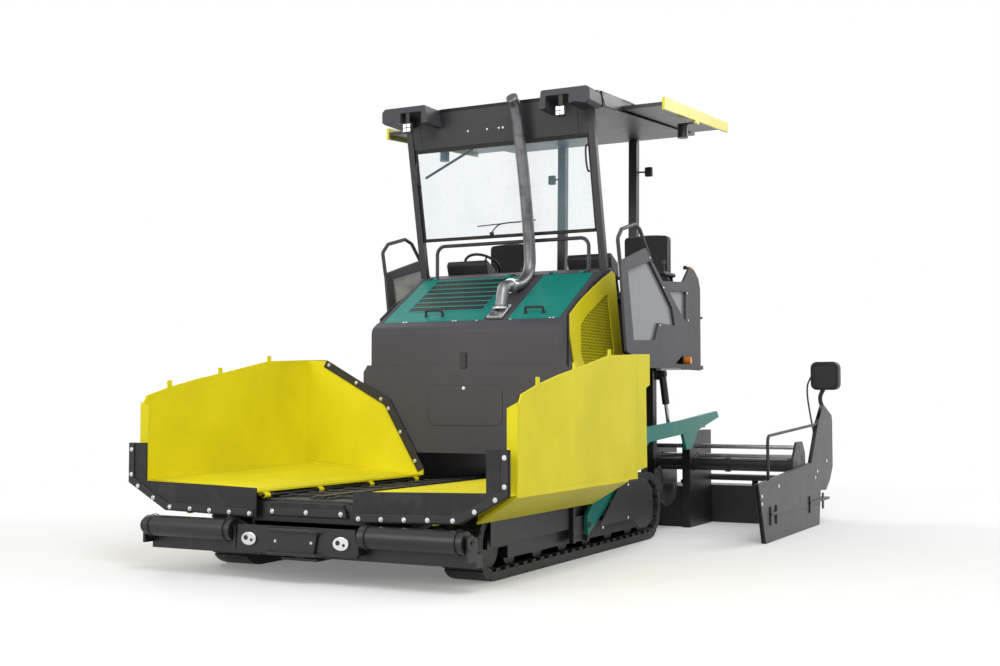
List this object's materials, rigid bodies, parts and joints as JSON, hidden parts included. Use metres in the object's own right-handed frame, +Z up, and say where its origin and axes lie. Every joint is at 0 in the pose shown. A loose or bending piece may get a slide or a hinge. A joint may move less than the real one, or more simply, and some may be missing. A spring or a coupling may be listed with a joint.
{
  "type": "tracked asphalt paver",
  "caption": "Tracked asphalt paver with an open hopper, canopied operator platform and an extending screed towed on long side arms.",
  "frame": {"origin": "middle of the machine's length and width, on the ground under the tracks", "axes": "+X driving direction, towards the hopper; +Y the machine's left; +Z up"},
  "size_m": [6.4859, 4.652, 4.08],
  "materials": {
    "paint_yellow": "satin lemon yellow paint",
    "paint_teal": "satin blue-green paint",
    "paint_dark": "dark grey powder coat",
    "paint_black": "near-black paint",
    "track_steel": "dark worn track shoes",
    "bare_steel": "ground steel tubes and rods",
    "rubber": "matt black rubber",
    "screen_glass": "clear glass",
    "smoke_panes": "smoked panels",
    "seat_cloth": "black seat cloth",
    "console_plastic": "black moulded plastic",
    "hose_orange": "orange gas hose",
    "cable_black": "black cable",
    "silver": "bright metal",
    "beacon_orange": "orange lens"
  },
  "bodies": {
    "chassis": {"track_left": "track_steel", "track_right": "track_steel", "track_wheels": "paint_black", "track_frames": "paint_black", "main_frame": "paint_black", "conveyor": "bare_steel", "side_covers": "paint_yellow", "arm_guards": "paint_dark", "centre_flap": "rubber", "hood_body": "paint_dark", "front_plate": "paint_black", "side_grilles": "paint_yellow", "engine_block": "paint_dark", "exhaust_pipe": "bare_steel", "platform": "paint_black", "side_shields": "paint_dark", "shield_panes": "smoke_panes", "seat_cushions": "seat_cloth", "consoles": "console_plastic", "canopy_posts": "paint_dark", "windscreen": "screen_glass", "roof": "paint_dark", "lamps": "silver", "beacon": "beacon_orange", "handrails": "paint_dark", "gas_hose": "hose_orange", "hose_coupling": "silver"},
    "wing_left": {"hopper_wing_left": "paint_yellow", "wing_flap_left": "rubber"},
    "wing_barrel_left": {"wing_barrel_left": "paint_black"},
    "wing_rod_left": {"wing_rod_left": "bare_steel"},
    "wing_right": {"hopper_wing_right": "paint_yellow", "wing_flap_right": "rubber"},
    "wing_barrel_right": {"wing_barrel_right": "paint_black"},
    "wing_rod_right": {"wing_rod_right": "bare_steel"},
    "push_beam": {"push_beam": "paint_black"},
    "push_roller_left": {"push_roller_left": "paint_black"},
    "push_roller_right": {"push_roller_right": "paint_black"},
    "hood_lid_left": {"hood_lid_left": "paint_teal"},
    "hood_lid_right": {"hood_lid_right": "paint_teal"},
    "roof_extension_left": {"roof_extension_left": "paint_yellow"},
    "roof_extension_right": {"roof_extension_right": "paint_yellow"},
    "tow_points": {"tow_points": "paint_dark"},
    "screed": {"tow_arms": "paint_teal", "screed_body": "paint_black", "screed_walkway": "paint_black"},
    "extension_left": {"screed_extension_left": "paint_black", "end_console_left": "console_plastic", "guide_tubes_left": "bare_steel", "console_cable": "cable_black"},
    "lift_barrel_left": {"lift_barrel_left": "paint_black"},
    "lift_rod_left": {"lift_rod_left": "bare_steel"},
    "auger_left": {"auger_left": "bare_steel"},
    "extension_right": {"screed_extension_right": "paint_black", "end_console_right": "console_plastic", "guide_tubes_right": "bare_steel"},
    "lift_barrel_right": {"lift_barrel_right": "paint_black"},
    "lift_rod_right": {"lift_rod_right": "bare_steel"},
    "auger_right": {"auger_right": "bare_steel"}
  },
  "joints": [
    {"name": "wing_left_fold", "type": "hinge", "parent": "chassis", "child": "wing_left", "pos_m": [1.9, 0.4, 0.575], "axis": [1, 0, 0], "range_deg": [0, 45]},
    {"name": "wing_left_barrel", "type": "hinge", "parent": "chassis", "child": "wing_barrel_left", "pos_m": [2.84, 0.53, 0.27], "axis": [1, 0, 0], "range_deg": [-1, 39]},
    {"name": "wing_left_rod", "type": "slide", "parent": "wing_barrel_left", "child": "wing_rod_left", "axis": [0, 0.8864, 0.4628], "range_m": [-0.005, 0.24]},
    {"name": "wing_right_fold", "type": "hinge", "parent": "chassis", "child": "wing_right", "pos_m": [1.9, -0.4, 0.575], "axis": [-1, 0, 0], "range_deg": [0, 45]},
    {"name": "wing_right_barrel", "type": "hinge", "parent": "chassis", "child": "wing_barrel_right", "pos_m": [2.84, -0.53, 0.27], "axis": [-1, 0, 0], "range_deg": [-1, 39]},
    {"name": "wing_right_rod", "type": "slide", "parent": "wing_barrel_right", "child": "wing_rod_right", "axis": [0, -0.8864, 0.4628], "range_m": [-0.005, 0.24]},
    {"name": "push_beam_swing", "type": "hinge", "parent": "chassis", "child": "push_beam", "pos_m": [3.065, 0, 0.215], "axis": [0, 0, 1], "range_deg": [-5, 5]},
    {"name": "push_roller_left_turn", "type": "hinge", "parent": "push_beam", "child": "push_roller_left", "pos_m": [3.168, 0.9325, 0.34], "axis": [0, 1, 0], "continuous": true},
    {"name": "push_roller_right_turn", "type": "hinge", "parent": "push_beam", "child": "push_roller_right", "pos_m": [3.168, -0.9325, 0.34], "axis": [0, 1, 0], "continuous": true},
    {"name": "hood_lid_left_open", "type": "hinge", "parent": "chassis", "child": "hood_lid_left", "pos_m": [-0.00481, 0.621, 2.39355], "axis": [0, -1, 0], "range_deg": [0, 60]},
    {"name": "hood_lid_right_open", "type": "hinge", "parent": "chassis", "child": "hood_lid_right", "pos_m": [-0.00481, -0.36, 2.39355], "axis": [0, -1, 0], "range_deg": [0, 60]},
    {"name": "roof_left_slide", "type": "slide", "parent": "chassis", "child": "roof_extension_left", "axis": [0, 1, 0], "range_m": [-0.37, 0]},
    {"name": "roof_right_slide", "type": "slide", "parent": "chassis", "child": "roof_extension_right", "axis": [0, -1, 0], "range_m": [-0.37, 0]},
    {"name": "tow_point_lift", "type": "slide", "parent": "chassis", "child": "tow_points", "axis": [0, 0, 1], "range_m": [0, 0.1]},
    {"name": "screed_lift", "type": "hinge", "parent": "tow_points", "child": "screed", "pos_m": [1.005, 0, 0.27], "axis": [0, 1, 0], "range_deg": [0, 5.5]},
    {"name": "extension_left_slide", "type": "slide", "parent": "screed", "child": "extension_left", "axis": [0, 1, 0], "range_m": [-0.88, 0.1]},
    {"name": "lift_left_barrel", "type": "hinge", "parent": "chassis", "child": "lift_barrel_left", "pos_m": [-0.88, 1.178, 1.495], "axis": [0, 1, 0], "range_deg": [-2.5, 1]},
    {"name": "lift_left_rod", "type": "slide", "parent": "lift_barrel_left", "child": "lift_rod_left", "axis": [-0.3216, 0, -0.9469], "range_m": [-0.212, 0.005]},
    {"name": "auger_left_turn", "type": "hinge", "parent": "chassis", "child": "auger_left", "pos_m": [-1.33, 0.6, 0.43], "axis": [0, 1, 0], "continuous": true},
    {"name": "extension_right_slide", "type": "slide", "parent": "screed", "child": "extension_right", "axis": [0, -1, 0], "range_m": [-0.88, 0.1]},
    {"name": "lift_right_barrel", "type": "hinge", "parent": "chassis", "child": "lift_barrel_right", "pos_m": [-0.88, -1.178, 1.495], "axis": [0, 1, 0], "range_deg": [-2.5, 1]},
    {"name": "lift_right_rod", "type": "slide", "parent": "lift_barrel_right", "child": "lift_rod_right", "axis": [-0.3216, 0, -0.9469], "range_m": [-0.212, 0.005]},
    {"name": "auger_right_turn", "type": "hinge", "parent": "chassis", "child": "auger_right", "pos_m": [-1.33, -0.6, 0.43], "axis": [0, 1, 0], "continuous": true}
  ],
  "couplings": [
    {"joint": "wing_left_barrel", "follows": "wing_left_fold", "ratio": 0.83122},
    {"joint": "wing_left_rod", "follows": "wing_left_fold", "m_per_rad": 0.29765},
    {"joint": "wing_right_barrel", "follows": "wing_right_fold", "ratio": 0.83122},
    {"joint": "wing_right_rod", "follows": "wing_right_fold", "m_per_rad": 0.29765},
    {"joint": "lift_left_barrel", "follows": "screed_lift", "ratio": -0.28071},
    {"joint": "lift_left_rod", "follows": "screed_lift", "m_per_rad": -2.1744},
    {"joint": "lift_right_barrel", "follows": "screed_lift", "ratio": -0.28071},
    {"joint": "lift_right_rod", "follows": "screed_lift", "m_per_rad": -2.1744}
  ]
}
